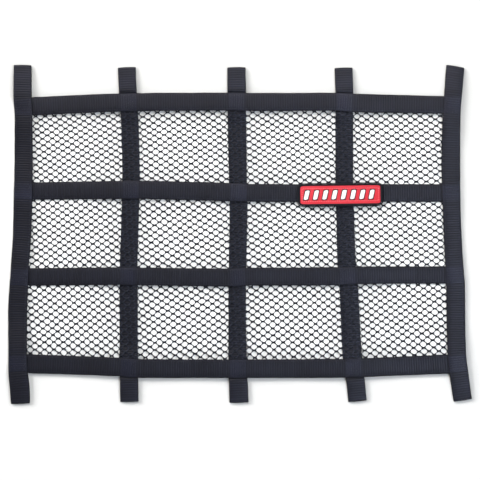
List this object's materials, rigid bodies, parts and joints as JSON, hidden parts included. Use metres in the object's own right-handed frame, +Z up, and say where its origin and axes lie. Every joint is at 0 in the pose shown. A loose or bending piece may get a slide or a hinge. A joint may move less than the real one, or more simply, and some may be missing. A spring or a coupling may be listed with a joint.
{
  "type": "window net",
  "caption": "Flat rectangular net of crossed webbing straps over knitted mesh, with rod loops along two edges, to cover a vehicle's side window opening.",
  "frame": {"origin": "centre of the lying net's outline, on the surface that it lies on", "axes": "+X to the net's right as seen face on, +Y to its top edge, +Z up from the surface out of its face"},
  "size_m": [0.6301, 0.4618, 0.0097],
  "materials": {
    "webbing": "ribbed nylon webbing, charcoal black, faint sheen",
    "netting": "knitted polyester mesh, black, matt",
    "label": "woven patch, red, with a dark overlocked edge"
  },
  "bodies": {
    "root": {"upright_side_left": "webbing", "upright_inner_left": "webbing", "upright_middle": "webbing", "upright_inner_right": "webbing", "upright_side_right": "webbing", "crossbar_top": "webbing", "crossbar_upper": "webbing", "crossbar_lower": "webbing", "crossbar_bottom": "webbing", "netting": "netting", "label": "label"}
  },
  "joints": []
}
